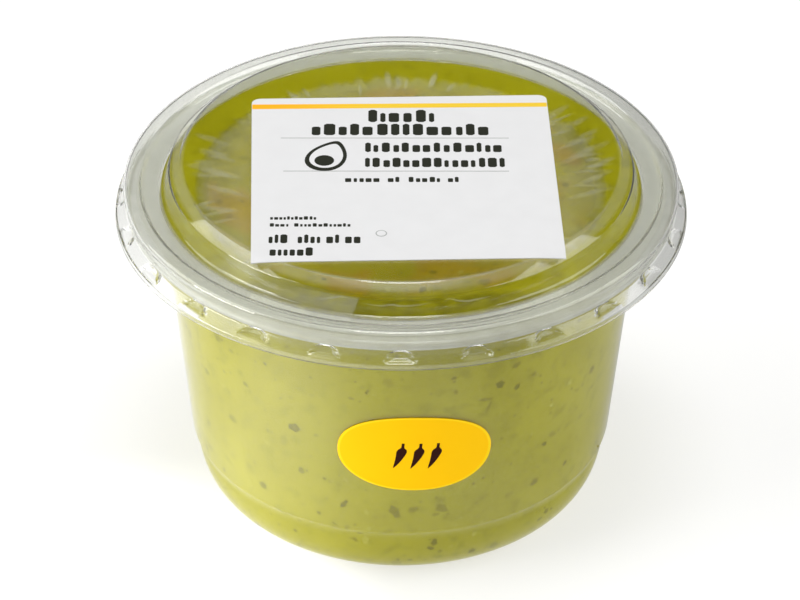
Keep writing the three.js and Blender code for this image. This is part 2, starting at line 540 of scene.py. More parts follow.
def make_dip_colour():
    """The green, with each of its patterns laid over it in turn."""
    group, _ = shader_group("dip_colour", {}, "Color", "Color")
    place = own_place(group)
    _, y, z = parts(group, place)
    on_top = remap(group, z, *TOP_FROM, 0.0, 1.0)
    radius = from_axis(group, place)
    open_top = remap(group, radius, (OPEN_R - OPEN_SOFT) * MM, OPEN_R * MM, 1.0, 0.0, smooth=True)
    front = remap(group, y, *PAINTED_SHADE_FROM, 0.0, PAINTED_SHADE_MOST, smooth=True)
    colour = DIP_GREEN
    for share, other in (
        (patches(group, place, BROAD), DIP_PALE),
        (patches(group, place, MASH, 3.0), DIP_DEEP),
        (patches(group, place, FINE, smooth=False), DIP_PALE),
        (times(group, patches(group, place, AIRED), on_top, open_top), DIP_BROWN),
        # painted shade: dark patches along the front of the top
        (times(group, front, on_top, patches(group, place, PAINTED_SHADE_PATCHES, smooth=False)), DIP_PAINTED_SHADE),
    ):
        colour = blend(group, share, colour, other)
    put(group, "NodeGroupOutput", {"Color": colour})
    return group


dip_colour = make_dip_colour()

# %% The dip's surface
DIP_ROUGH = 0.5
DIP_ROUGH_UNEVEN = (2 * MM, 0.3)
DIP_SHINE = 0.05
MASH_UNEVEN = (1.2 * MM, 0.5, 4.0)
MASH_STRENGTH = 0.6
MASH_DEPTH = 0.1 * MM


def make_dip_material():
    """A moist mash: the shared colour, small bumps and a dull shine."""
    material, tree = new_material("avocado_dip")
    mash = bump(tree, MASH_STRENGTH, MASH_DEPTH, uneven(tree, *MASH_UNEVEN))
    colour = put(tree, "ShaderNodeGroup", node_tree=dip_colour).outputs["Color"]
    roughness = times(tree, DIP_ROUGH, uneven(tree, *DIP_ROUGH_UNEVEN))
    return matt(material, colour, roughness, DIP_SHINE, {"Normal": mash})


dip_material = make_dip_material()

# %% [markdown]
# ## Guacamole
# The dip takes the inside shape of its tub, and is pressed a little way into the wall so that no gap of
# air shows between them. Its top touches the sealing film in a ring round the edge, and lies a little
# lower in the middle, with soft lumps. A turned solid gives the shape, and a Geometry Nodes tree gives
# the relief, because the relief follows a rule: more in the middle, none where plastic presses on it.

# %% Geometry Nodes helpers
def geometry_tree(name, numbers, others=None):
    """A geometry tree with a named input for each number, for what else it takes, and for a material."""
    tree = bpy.data.node_groups.new(name, "GeometryNodeTree")
    tree.interface.new_socket("Geometry", in_out="OUTPUT", socket_type="NodeSocketGeometry")
    kinds = {"Geometry": "Geometry", **dict.fromkeys(numbers, "Float"), **(others or {})}
    for label, kind in {**kinds, "Material": "Material"}.items():
        tree.interface.new_socket(label, in_out="INPUT", socket_type="NodeSocket" + kind)
    return tree, put(tree, "NodeGroupInput").outputs


def end_tree(tree, given, geometry):
    """Ends a tree: real geometry in place of instances, with its material."""
    real = put(tree, "GeometryNodeRealizeInstances", {0: geometry}).outputs[0]
    finished = put(tree, "GeometryNodeSetMaterial", {"Geometry": real, "Material": given["Material"]})
    put(tree, "NodeGroupOutput", {0: finished.outputs[0]})
    return tree


def moved(tree, geometry, **places):
    """Moves a geometry's points by an Offset, or to a Position."""
    return put(tree, "GeometryNodeSetPosition", {"Geometry": geometry, **places}).outputs[0]


def stored(tree, geometry, name, value, domain="POINT"):
    """Stores a number with a geometry, which its material can read by name."""
    values = {"Geometry": geometry, "Name": name, "Value": value}
    made = put(tree, "GeometryNodeStoreNamedAttribute", values, data_type="FLOAT", domain=domain)
    return made.outputs[0]


def apply_tree(piece, tree, values):
    """Runs a tree on a piece and keeps what it makes as the piece's plain mesh."""
    modifier = piece.modifiers.new(tree.name, "NODES")
    modifier.node_group = tree
    for item in tree.interface.items_tree:
        if item.in_out == "INPUT" and item.name in values:
            modifier[item.identifier] = values[item.name]
    shown = piece.evaluated_get(bpy.context.evaluated_depsgraph_get())
    mesh = bpy.data.meshes.new_from_object(shown)
    piece.modifiers.remove(modifier)
    piece.data = mesh
    return piece


# %% Tree: soft lumps on the dip
def make_lump_tree():
    """Lifts and lowers the dip's free top, and leaves the rest as it is."""
    sizes = ["Height", "Lump size", "Open radius", "Edge width", "Lowest"]
    tree, given = geometry_tree("soft_lumps", sizes)
    place = put(tree, "GeometryNodeInputPosition").outputs[0]
    inner = calc(tree, "SUBTRACT", given["Open radius"], given["Edge width"])
    inside = remap(tree, from_axis(tree, place), inner, given["Open radius"], 1.0, 0.0, smooth=True)
    above = calc(tree, "GREATER_THAN", parts(tree, place)[2], given["Lowest"])
    lumps = put(tree, "ShaderNodeTexNoise", {
        "Vector": place,
        "Scale": calc(tree, "DIVIDE", 1.0, given["Lump size"]),
        "Detail": 3.0,
    }).outputs[0]
    rise = times(tree, calc(tree, "SUBTRACT", lumps, 0.5), given["Height"], inside, above)
    shift = put(tree, "ShaderNodeCombineXYZ", {2: rise}).outputs[0]
    return end_tree(tree, given, moved(tree, given["Geometry"], Offset=shift))


# %% Guacamole
DIP_INTO_WALL = 0.3
CONTACT_Z = 69.78
CONTACT_IN_R = 42.0
DISH_R = 39.6
DISH_Z = 68.35
TOP_RINGS = 40
FLOOR_RINGS = 37  # those that lie inside the ring's rounded foot


def dip_skin(height):
    """The dip's outer skin, from its middle up to about a height."""
    corners = bowl_corners() + [(wall_radius(height), height)]
    return offset(rounded(corners), TUB_WALL - DIP_INTO_WALL)


def make_dip():
    """The dip up to its ring, the dish inside that, and lumps on the dish."""
    skin = dip_skin(CONTACT_Z)
    skin[-1].y = CONTACT_Z
    ring = rounded([tuple(skin[-1]), (CONTACT_IN_R, CONTACT_Z, 1.5), (DISH_R, DISH_Z, 2.0), (0, DISH_Z)])
    floor = [Vector((DISH_R * k / TOP_RINGS, DISH_Z)) for k in range(FLOOR_RINGS, 0, -1)]
    piece = turned("guacamole_dip", skin + ring[1:-1] + floor + ring[-1:], SIDES)
    return apply_tree(piece, make_lump_tree(), {
        "Height": 1.0 * MM,
        "Lump size": 5.0 * MM,
        "Open radius": CONTACT_IN_R * MM,
        "Edge width": 3.5 * MM,
        "Lowest": 60 * MM,
        "Material": dip_material,
    })


dip = make_dip()
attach(dip, "root")
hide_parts("guacamole")
report(dip)

# %% [markdown]
# ## Flecks in the dip
# Chopped herb, pepper skin and onion show as small dark and pale flecks where they touch the wall. Each
# is a flat lens with a strong middle and a rim of the dip's own colour, so it looks half sunk. A fleck is
# modelled once, and a Geometry Nodes tree scatters it with many small ones for each large one.

# %% One fleck, as a flat lens
FLECK_SIDES = 10
FLECK_RINGS = [(0.55, 1.7, 0.8), (1.0, 1.0, 0.0)]  # a share of the radius, the rise there, and the fade
FLECK_RISE = 0.025
FLECK_SINK = 0.1
FLECK_UNEVEN = 0.3
FLECK_REACH = 3.0  # how far the largest fleck reaches from its middle


def fleck_shape():
    """A lens of radius 1 mm with a wavy rim; its fade attribute is 1 in the middle and 0 at the rim."""
    random = np.random.default_rng(4)
    reach = 1 + random.uniform(-FLECK_UNEVEN, FLECK_UNEVEN, FLECK_SIDES)
    vertices = [(0, 0, 2 * FLECK_RISE * MM), (0, 0, -FLECK_SINK * MM)]
    fade = [1.0, 0.0]
    for share, rise, strength in FLECK_RINGS:
        for k in range(FLECK_SIDES):
            angle = 2 * math.pi * k / FLECK_SIDES
            far = share * reach[k] * MM
            vertices.append((far * math.cos(angle), far * math.sin(angle), rise * FLECK_RISE * MM))
            fade.append(strength)
    faces = []
    for k in range(FLECK_SIDES):
        inner, inner_next = 2 + k, 2 + (k + 1) % FLECK_SIDES
        outer, outer_next = inner + FLECK_SIDES, inner_next + FLECK_SIDES
        faces += [(0, inner, inner_next), (inner, outer, outer_next, inner_next), (1, outer_next, outer)]
    piece = new_piece("fleck", vertices, faces)
    mark_points(piece.data, "fade", fade)
    return piece


# %% Tree: scatter flecks
SIZE_POWER = 6.0  # the higher, the fewer large ones
STRETCH = (0.6, 1.5)
STRENGTH = (0.2, 0.7)
FACING_UP = 0.97


def random_value(tree, low, high, seed, number):
    """A chance value for each point; the number keeps one kind of chance apart from the others."""
    values = {2: low, 3: high, "Seed": calc(tree, "ADD", seed, number)}
    return put(tree, "FunctionNodeRandomValue", values).outputs[1]


def make_scatter_tree():
    """Scatters a fleck over a piece's side between two heights, and over its top inside a radius."""
    sizes = ["Per square metre", "Smallest", "Largest", "Lowest", "Highest", "Top radius"]
    tree, given = geometry_tree("scatter_flecks", sizes, {"Fleck": "Object", "Seed": "Int"})
    place = put(tree, "GeometryNodeInputPosition").outputs[0]
    height = parts(tree, place)[2]
    facing = parts(tree, put(tree, "GeometryNodeInputNormal").outputs[0])[2]
    below_edge = calc(tree, "LESS_THAN", height, given["Highest"])
    side = times(tree, calc(tree, "GREATER_THAN", height, given["Lowest"]), below_edge)
    inner = calc(tree, "LESS_THAN", from_axis(tree, place), given["Top radius"])
    top = times(tree, inner, calc(tree, "GREATER_THAN", facing, FACING_UP))
    points = put(tree, "GeometryNodeDistributePointsOnFaces", {
        "Mesh": given["Geometry"],
        "Selection": calc(tree, "MAXIMUM", side, top),
        "Density": given["Per square metre"],
        "Seed": given["Seed"],
    }).outputs
    chance = calc(tree, "POWER", random_value(tree, 0.0, 1.0, given["Seed"], 1), SIZE_POWER)
    spread = calc(tree, "SUBTRACT", given["Largest"], given["Smallest"])
    size = plus(tree, given["Smallest"], times(tree, chance, spread))
    length = times(tree, size, random_value(tree, *STRETCH, given["Seed"], 2))
    spin = random_value(tree, 0.0, 2 * math.pi, given["Seed"], 3)
    turn = put(tree, "FunctionNodeRotateRotation", {
        0: points["Rotation"],
        1: put(tree, "ShaderNodeCombineXYZ", {2: spin}).outputs[0],
    }, rotation_space="LOCAL")
    fleck = put(tree, "GeometryNodeObjectInfo", {"Object": given["Fleck"]})
    laid = put(tree, "GeometryNodeInstanceOnPoints", {
        "Points": points[0],
        "Selection": calc(tree, "MAXIMUM", below_edge, inner),
        "Instance": fleck.outputs["Geometry"],
        "Rotation": turn.outputs[0],
        "Scale": put(tree, "ShaderNodeCombineXYZ", {0: length, 1: size, 2: 1.0}).outputs[0],
    }).outputs[0]
    strength = random_value(tree, *STRENGTH, given["Seed"], 4)
    return end_tree(tree, given, stored(tree, laid, "strength", strength, "INSTANCE"))


scatter_tree = make_scatter_tree()


# %% Fleck materials
FLECK_FADE = 0.65
FLECK_PATCHES = (1.5 * MM, 0.4, 0.6, 0.0, 1.0)
FLECK_UNEVEN_SHINE = (1 * MM, 0.3)


def fleck_material(name, colour, second):
    """A fleck's own colour in its middle, and the dip's colour at its rim."""
    material, tree = new_material(name)
    around = put(tree, "ShaderNodeGroup", node_tree=dip_colour).outputs["Color"]
    second_share = patches(tree, own_place(tree), FLECK_PATCHES, smooth=False)
    middle = remap(tree, attribute(tree, "fade"), 0.0, FLECK_FADE, 0.0, 1.0, smooth=True)
    share = times(tree, middle, attribute(tree, "strength"))
    colour = blend(tree, share, around, blend(tree, second_share, colour, second))
    return matt(material, colour, times(tree, DIP_ROUGH, uneven(tree, *FLECK_UNEVEN_SHINE)), DIP_SHINE)


herb_material = fleck_material("dark_herb", (0.115, 0.105, 0.001, 1), (0.18, 0.165, 0.001, 1))
onion_material = fleck_material("pale_onion", (0.54, 0.52, 0.10, 1), (0.46, 0.45, 0.04, 1))


# %% Scatter herb and onion
FLECKS_LOW = 3 * MM
FLECKS_HIGH = 66 * MM


def scatter(name, per_square_metre, smallest, largest, seed, material):
    """Flecks of one kind in the dip's side and its free top, as one piece."""
    piece = new_object(name, dip.data.copy())
    apply_tree(piece, scatter_tree, {
        "Fleck": fleck,
        "Per square metre": per_square_metre,
        "Smallest": smallest,
        "Largest": largest,
        "Lowest": FLECKS_LOW,
        "Highest": FLECKS_HIGH,
        "Top radius": (OPEN_R - FLECK_REACH) * MM,
        "Seed": seed,
        "Material": material,
    })
    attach(piece, "root")
    report(piece)


fleck = fleck_shape()
scatter("herb_flecks", 64000, 0.3, 1.4, 11, herb_material)
scatter("onion_flecks", 12000, 0.3, 1.2, 23, onion_material)

# %% [markdown]
# ## Flecks placed one by one
# A few flecks are large enough that the eye knows them, so these are listed one by one: an angle round the
# wall from its front line in degrees, a height in mm, a length and a width, and how strong the fleck is.
# The same lens is turned to face out of the wall.

# %% Large flecks
LARGE_FLECKS = [
    (-27.4, 38.4, 1.2, 1.0, 1.0),
    (-30.7, 33.9, 1.3, 0.8, 0.35),
    (-41.3, 44.7, 0.7, 0.55, 0.6),
    (-10.6, 12.9, 0.9, 0.5, 0.6),
    (-43.6, 22.5, 0.9, 0.9, 0.3),
    (-21.4, 37.9, 0.55, 0.4, 0.6),
    (-35.4, 34.9, 0.4, 0.4, 0.6),
    (-11.8, 49.4, 0.6, 0.35, 0.6),
    (-14.6, 20.9, 1.1, 0.5, 1.0),
    (-21.9, 16.9, 0.5, 0.45, 0.7),
    (12.6, 54.6, 0.55, 0.4, 0.7),
    (13.3, 50.9, 0.6, 0.4, 0.6),
    (21.2, 47.6, 1.3, 0.4, 0.6),
    (22.0, 45.6, 1.2, 0.35, 0.5),
    (39.8, 30.0, 0.6, 0.5, 1.0),
    (50.3, 39.6, 0.5, 0.5, 0.4),
    (-1.3, 19.7, 1.6, 0.9, 0.75),
    (9.4, 18.7, 0.7, 0.45, 0.5),
    (9.4, 10.4, 0.9, 0.6, 0.9),
    (8.4, 8.8, 0.7, 0.5, 0.9),
    (29.3, 19.7, 0.6, 0.6, 0.3),
    (-2.9, 54.1, 1.1, 0.9, 0.3),
]
LARGE_SPREAD = 1.3
LARGE_SEEN = 0.75
LARGE_TURN = 1.3  # each is turned by this much more than the one before it, in radians
LARGE_BELOW = 60.0
dip_side = dip_skin(LARGE_BELOW)


def large_flecks():
    """One mesh of lenses on the dip's side, each with its own strength."""
    shape = fleck.data
    count = len(shape.vertices)
    vertices, faces, strength = [], [], []
    for number, (azimuth, height, length, width, strong) in enumerate(LARGE_FLECKS):
        angle = math.radians(azimuth)
        radius = wall_radius(height) - TUB_WALL + DIP_INTO_WALL
        if height < STEP_Z:
            radius = min(point.x for point in dip_side if point.y > height)
        front = Vector((math.sin(angle), -math.cos(angle), 0))
        out = (front - Vector((0, 0, wall_slope))).normalized()
        along = Vector((math.cos(angle), math.sin(angle), 0))
        spin = Matrix.Rotation(number * LARGE_TURN, 3, "Z")
        stretch = Matrix.Diagonal((length * LARGE_SPREAD, width * LARGE_SPREAD, 1))
        axes = Matrix((along, out.cross(along), out)).transposed() @ spin @ stretch
        centre = (front * radius + Vector((0, 0, height))) * MM
        vertices += [centre + axes @ vertex.co for vertex in shape.vertices]
        faces += [[corner + number * count for corner in polygon.vertices] for polygon in shape.polygons]
        strength += [strong * LARGE_SEEN] * count
    piece = new_piece("large_herb_flecks", vertices, faces)
    fades = [value.value for value in shape.attributes["fade"].data]
    mark_points(piece.data, "fade", fades * len(LARGE_FLECKS))
    mark_points(piece.data, "strength", strength)
    piece.data.materials.append(herb_material)
    return piece


large = large_flecks()
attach(large, "root")
report(large)
bpy.data.objects.remove(fleck)

# %% [markdown]
# ## Sealing film
# A thin clear film is sealed to the flange under the lid. Where the dip touches it, it can't be seen.
# Where it hangs free, a fine mist on its underside pales the dip, and where it is sealed to the flange
# it turns white. An Alpha set by nodes shows that best: one value for how much of the film can be seen.

# %% Film
FILM_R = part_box("seal_film")[1].x / MM
FILM_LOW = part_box("seal_film")[0].z / MM
FILM_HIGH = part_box("seal_film")[1].z / MM
FILM_COLOUR = (0.9, 0.91, 0.88, 1)
FILM_SHINE = 0.2
FILM_ROUGH = 0.3
FILM_ROUGH_UNEVEN = (4 * MM, 0.3)
SEAL_R = 49.0
SEALED = 0.42
SEAL_SOFT = 0.8
MIST = 0.075
MIST_UNEVEN = (6 * MM, 0.8)
MIST_IN_FRONT = 0.15
VEIL = 0.14
VEIL_UNEVEN = (3 * MM, 0.5)
RAGGED_BY = 2.5 * MM
RAGGED_NOISE = (0.06, 4.0, 0.6)  # the size, detail and roughness of a noise round the film's edge
RAGGED_LEVELS = (0.25, 0.75)
FREE_SOFT = 1.5
VEIL_START = (math.radians(-58), math.radians(-44))
VEIL_END = (math.radians(-11.6), math.radians(-10.8))
VEIL_FROM = (41.5 * MM, 42.5 * MM)
FRONT_EDGE = (-31 * MM, -25 * MM)
FILM_RINGS = 54
FILM_FILLET = 0.1


def make_film_material():
    """Clear where the dip touches it, misted where it hangs free, white where it is sealed, and under a
    thin veil at the front left."""
    material, tree = new_material("sealing_film")
    place = own_place(tree)
    radius = from_axis(tree, place)
    x, y, _ = parts(tree, place)
    pattern = noise(tree, outwards(tree, place), *RAGGED_NOISE)
    ragged = remap(tree, pattern, *RAGGED_LEVELS, -RAGGED_BY, RAGGED_BY)
    edge = ((OPEN_R - FREE_SOFT) * MM, (OPEN_R + FREE_SOFT) * MM)
    free = remap(tree, plus(tree, radius, ragged), *edge, 1.0, 0.0, smooth=True)
    back = remap(tree, y, *FRONT_EDGE, MIST_IN_FRONT, 1.0, smooth=True)
    mist = times(tree, free, back, MIST, uneven(tree, *MIST_UNEVEN))
    azimuth = calc(tree, "ARCTAN2", x, times(tree, y, -1.0))
    start = remap(tree, azimuth, *VEIL_START, 0.0, 1.0, smooth=True)
    end = remap(tree, azimuth, *VEIL_END, 1.0, 0.0)
    outer = remap(tree, radius, *VEIL_FROM, 0.0, 1.0)
    veil = times(tree, start, end, VEIL, uneven(tree, *VEIL_UNEVEN), outer)
    seal = remap(tree, radius, SEAL_R * MM, (SEAL_R + SEAL_SOFT) * MM, 0.0, SEALED, smooth=True)
    seal = times(tree, seal, less_behind(tree, HAZE_BEHIND))
    roughness = times(tree, FILM_ROUGH, uneven(tree, *FILM_ROUGH_UNEVEN))
    return matt(material, FILM_COLOUR, roughness, FILM_SHINE, {"Alpha": plus(tree, mist, seal, veil)})


def make_film():
    """A thin disc, with rings close enough to carry its finish."""
    rings = [FILM_R * k / FILM_RINGS for k in range(FILM_RINGS)]
    rim = rounded([
        (rings[-1], FILM_LOW),
        (FILM_R, FILM_LOW, FILM_FILLET),
        (FILM_R, FILM_HIGH, FILM_FILLET),
        (rings[-1], FILM_HIGH),
    ])
    under = [Vector((radius, FILM_LOW)) for radius in rings]
    over = [Vector((radius, FILM_HIGH)) for radius in rings[::-1]]
    piece = turned("sealing_film", under + rim[1:-1] + over, SIDES)
    piece.data.materials.append(make_film_material())
    return piece


film = make_film()
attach(film, "root")
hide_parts("seal_film")
report(film)

# %% [markdown]
# ## Pleats in the film
# A film that shrinks as it is sealed gathers in small pleats, which catch the light as pale streaks.
# Each pleat is drawn as edges of a mesh. A Geometry Nodes tree turns them into curves, lets them waver,
# sweeps a small round profile along them that is half as wide at both ends, and presses the result
# flat. Its material is a painted highlight, pale streaks in place of the light the pleats catch, and it
# fades out towards the ends and the edges of each pleat.

# %% Tree: lay pleats
PLEAT_STEPS = 14
PLEAT_SIDES = 10
WAVER_SCALE = 400.0
THINNEST = 0.01


def make_pleat_tree():
    """Turns edges into flat, wavering pleats that are narrower at both ends."""
    tree, given = geometry_tree("lay_pleats", ["Half width", "Waver", "Base height", "Flatness"])
    place = put(tree, "GeometryNodeInputPosition").outputs[0]
    x, y, z = parts(tree, place)
    curves = put(tree, "GeometryNodeMeshToCurve", {0: given["Geometry"]}).outputs[0]
    curves = put(tree, "GeometryNodeResampleCurve", {"Curve": curves, "Count": PLEAT_STEPS}).outputs[0]
    shake = put(tree, "ShaderNodeTexNoise", {"Vector": place, "Scale": WAVER_SCALE, "Detail": 2.0}).outputs[1]
    shake = vector(tree, "MULTIPLY", vector(tree, "SUBTRACT", shake, (0.5, 0.5, 0.5)), (1, 1, 0))
    curves = moved(tree, curves, Offset=vector(tree, "SCALE", shake, Scale=given["Waver"]))
    along = put(tree, "GeometryNodeSplineParameter").outputs["Factor"]
    swell = calc(tree, "MAXIMUM", calc(tree, "SINE", times(tree, along, math.pi)), THINNEST)
    curves = stored(tree, curves, "swell", swell)
    wide = put(tree, "GeometryNodeInputNamedAttribute", {"Name": "wide"}, data_type="FLOAT").outputs[0]
    curves = put(tree, "GeometryNodeSetCurveNormal", {0: curves}, mode="Z_UP").outputs[0]
    profile = put(tree, "GeometryNodeCurvePrimitiveCircle", {"Resolution": PLEAT_SIDES, "Radius": 1.0})
    swept = put(tree, "GeometryNodeCurveToMesh", {
        "Curve": curves,
        "Profile Curve": stored(tree, profile.outputs[0], "edge", calc(tree, "ABSOLUTE", x)),
        "Scale": times(tree, plus(tree, 0.5, times(tree, swell, 0.5)), wide, given["Half width"]),
        "Fill Caps": True,
    }).outputs[0]
    rise = times(tree, calc(tree, "SUBTRACT", z, given["Base height"]), given["Flatness"])
    low = put(tree, "ShaderNodeCombineXYZ", {0: x, 1: y, 2: plus(tree, given["Base height"], rise)})
    pressed = moved(tree, swept, Position=low.outputs[0])
    smooth = put(tree, "GeometryNodeSetShadeSmooth", {"Geometry": pressed})
    return end_tree(tree, given, smooth.outputs[0])


# %% Pleats
# Each long pleat is its width and its (x, y) places in mm.
LONG_PLEATS = [
    (1.3, (31.7, 18.4), (39.6, 26.4)),
    (1.6, (31.9, 6.6), (43.6, 16.6)),
    (1.3, (37.5, 4.8), (44.5, 10.4)),
    (1.2, (35.3, -1.2), (43.7, 5.3)),
    (1.4, (33.0, 13.0), (41.5, 21.5)),
    (1.2, (33.0, -6.0), (43.8, -1.5)),
    (1.3, (29.5, 23.5), (35.5, 31.0)),
    (1.4, (-43.1, 18.7), (-35.0, 13.6)),
    (1.6, (-44.7, 7.0), (-31.8, 1.1)),
    (1.1, (-39.6, 3.6), (-33.0, 1.4)),
    (1.2, (-41.0, -0.7), (-30.7, -5.6)),
    (1.2, (-42.0, 12.0), (-33.5, 7.5)),
    (1.1, (-41.5, -9.0), (-32.0, -11.0)),
    (
        0.5, (-7.9, -42.7), (-5.8, -43.5), (-3.7, -44), (-1.7, -43.3),
        (0, -44), (2, -43.7), (3.9, -43.3), (6.2, -42.6),
    ),
    (0.5, (8.4, -42.6), (9.4, -41), (11.4, -41.9), (12.9, -42.1), (15.2, -41.3), (17.7, -40.1)),
    (0.5, (-16.4, -40.1), (-15.6, -41.7), (-13.4, -41.2), (-11.2, -40.5), (-10.2, -41.4), (-9.9, -42.3)),
]
SHORT_PLEATS = 36
SHORT_ROUND = (-0.25 * math.pi, 1.25 * math.pi)
SHORT_MIDDLE = (37.5, 41.5)
SHORT_HALF = (1.8, 4.6)
SHORT_WIDTH = (0.5, 1.1)
SHORT_LEAN = 0.03
# The pleats' pale colour is a painted highlight.
PLEAT_HIGHLIGHT_SEEN = 0.14
PLEAT_HIGHLIGHT_COLOUR = (0.85, 0.85, 0.74, 1)
PLEAT_SHINE = 0.1
PLEAT_ROUGH = 0.3
PLEAT_ROUGH_UNEVEN = (1 * MM, 0.5)
PLEAT_UNEVEN = (2 * MM, 0.8)
PLEAT_Z = FILM_HIGH


def pleat_highlight_material():
    """A painted highlight: a pale colour that is seen most along the middle of a pleat."""
    material, tree = new_material("film_pleat")
    soft = remap(tree, attribute(tree, "edge"), 0.0, 1.0, 1.0, 0.0, smooth=True)
    seen = times(tree, soft, attribute(tree, "swell"), PLEAT_HIGHLIGHT_SEEN, uneven(tree, *PLEAT_UNEVEN))
    roughness = times(tree, PLEAT_ROUGH, uneven(tree, *PLEAT_ROUGH_UNEVEN))
    return matt(material, PLEAT_HIGHLIGHT_COLOUR, roughness, PLEAT_SHINE, {"Alpha": seen})


def pleat_lines():
    """The long pleats, and short ones that stand out from the axis at chance angles."""
    random = np.random.default_rng(7)
    lines = [(wide, places) for wide, *places in LONG_PLEATS]
    for angle in random.uniform(*SHORT_ROUND, SHORT_PLEATS):
        middle = random.uniform(*SHORT_MIDDLE)
        half = random.uniform(*SHORT_HALF)
        lean = angle + random.uniform(-SHORT_LEAN, SHORT_LEAN)
        ends = ((middle - half, angle), (middle + half, lean))
        lines.append((random.uniform(*SHORT_WIDTH), [(r * math.cos(a), r * math.sin(a)) for r, a in ends]))
    return lines


def make_pleats():
    """All pleats as one mesh, each with its own width."""
    vertices, edges, wide = [], [], []
    for width, places in pleat_lines():
        first = len(vertices)
        vertices += [(x * MM, y * MM, PLEAT_Z * MM) for x, y in places]
        wide += [width] * len(places)
        edges += [(first + k, first + k + 1) for k in range(len(places) - 1)]
    mesh = bpy.data.meshes.new("film_pleats")
    mesh.from_pydata(vertices, edges, [])
    mark_points(mesh, "wide", wide)
    return apply_tree(new_object("film_pleats", mesh), make_pleat_tree(), {
        "Half width": 1.0 * MM,
        "Waver": 0.8 * MM,
        "Base height": PLEAT_Z * MM,
        "Flatness": 0.1,
        "Material": pleat_highlight_material(),
    })


pleats = make_pleats()
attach(pleats, "root")
report(pleats)

# %% [markdown]
# ## Lid
# The lid is a thin pressed shell. From its middle outwards it has a flat raised centre, a sloping
# shoulder, a steep wall down to a channel that sits on the flange, a broad crest over the flange's edge,
# and a flared skirt. Round the skirt, snap lugs are pressed inwards to catch under the flange. The lugs
# repeat, so a Geometry Nodes tree presses all of them into the turned shell by one rule.

# %% Tree: press snap lugs into a skirt
LUG_RAMP = 0.35  # a lug deepens over this share of its height
LUG_EDGE = 0.7  # and rises back to the skirt from this share of the way to its arched edge
LEAST_ROOM = 0.0001


def make_lug_tree():
    """Presses arched lugs inwards, evenly round a skirt."""
    sizes = ["Count", "Width", "Depth", "Foot height", "Top height"]
    tree, given = geometry_tree("press_snap_lugs", sizes)
    place = put(tree, "GeometryNodeInputPosition").outputs[0]
    x, y, z = parts(tree, place)
    pitch = calc(tree, "DIVIDE", 2 * math.pi, given["Count"])
    turns = calc(tree, "DIVIDE", calc(tree, "ARCTAN2", y, x), pitch)
    off = calc(tree, "ABSOLUTE", calc(tree, "SUBTRACT", turns, calc(tree, "ROUND", turns)))
    sideways = times(tree, off, pitch, from_axis(tree, place))
    across = calc(tree, "DIVIDE", sideways, times(tree, given["Width"], 0.5))
    span = calc(tree, "SUBTRACT", given["Top height"], given["Foot height"])
    up = calc(tree, "DIVIDE", calc(tree, "SUBTRACT", z, given["Foot height"]), span)
    room = calc(tree, "MAXIMUM", calc(tree, "SUBTRACT", 1.0, times(tree, across, across)), LEAST_ROOM)
    arch = calc(tree, "DIVIDE", up, calc(tree, "SQRT", room))
    edge = remap(tree, arch, LUG_EDGE, 1.0, 1.0, 0.0, smooth=True)
    ramp = remap(tree, up, 0.0, LUG_RAMP, 0.0, 1.0, smooth=True)
    press = times(tree, ramp, edge, given["Depth"], calc(tree, "LESS_THAN", across, 1.0))
    inwards = vector(tree, "SCALE", outwards(tree, place), Scale=times(tree, press, -1.0))
    return end_tree(tree, given, moved(tree, given["Geometry"], Offset=inwards))


# %% Lid
LID_SIDES = 576
LID_WALL = 0.5
LID_TOP = 76.35
LIP_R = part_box("lid")[1].x / MM
LIP_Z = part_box("lid")[0].z / MM
PLATEAU_R = 44.95
FLARE = ((56.45, 67.55), (58.1, 66.1))
FLARE_PARTS = 10


def make_lid():
    """The shell from its middle out to the lip, with the lugs pressed in."""
    top = rounded([
        (0, LID_TOP),
        (PLATEAU_R, LID_TOP, 1.1),
        (47.35, 74.5, 0.8),  # the shoulder's foot
        (48.4, 70.5, 0.9),  # the channel
        (52.2, 70.5, 0.9),
        (53.2, 72.2, 0.9),  # the crest
        (56.9, 72.2, 1.3),
        (56.15, 67.8, 0.7),  # the flare
        (58.35, 65.9, 0.6),
        (LIP_R, LIP_Z),
    ])
    top = divided(top, *FLARE, FLARE_PARTS)
    under = offset(top, -LID_WALL)
    piece = turned("clear_lid", under + top[::-1], LID_SIDES)
    return apply_tree(piece, make_lug_tree(), {
        "Count": 24.0,
        "Width": 5.4 * MM,
        "Depth": 0.8 * MM,
        "Foot height": 65.95 * MM,
        "Top height": 67.9 * MM,
        "Material": lid_plastic,
    })


lid = make_lid()
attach(lid, "root")
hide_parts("lid")
report(lid)

# %% [markdown]
# ## Paper and ink
# Coated paper is nearly white, matt, and a little cloudy. The sticker glows faintly, a painted glow
# that makes it brighter than the light that falls on it. The label's underside glows too, as painted
# light: it stands for the light that comes through thin paper, without which the dip under the label is
# left in the dark.

# %% Paper
PAPER_SHINE = 0.05
PAPER_CLOUDS = (5 * MM, 0.03)
PAPER_ROUGH_UNEVEN = (2 * MM, 0.15)
FIBRE_UNEVEN = (0.4 * MM, 0.5)
FIBRE_STRENGTH = 0.3
FIBRE_DEPTH = 0.01 * MM


def paper(name, colour, roughness, glow=0.0):
    """Coated paper or ink: a fine cloudiness in its colour, a fibre that barely shows, and a glow."""
    material, tree = new_material(name)
    tone = put(tree, "ShaderNodeHueSaturation", {"Value": uneven(tree, *PAPER_CLOUDS), "Color": colour})
    fibre = bump(tree, FIBRE_STRENGTH, FIBRE_DEPTH, uneven(tree, *FIBRE_UNEVEN))
    roughness = times(tree, roughness, uneven(tree, *PAPER_ROUGH_UNEVEN))
    return matt(material, tone.outputs[0], roughness, PAPER_SHINE, {
        "Emission Color": colour,
        "Emission Strength": glow,
        "Normal": fibre,
    })
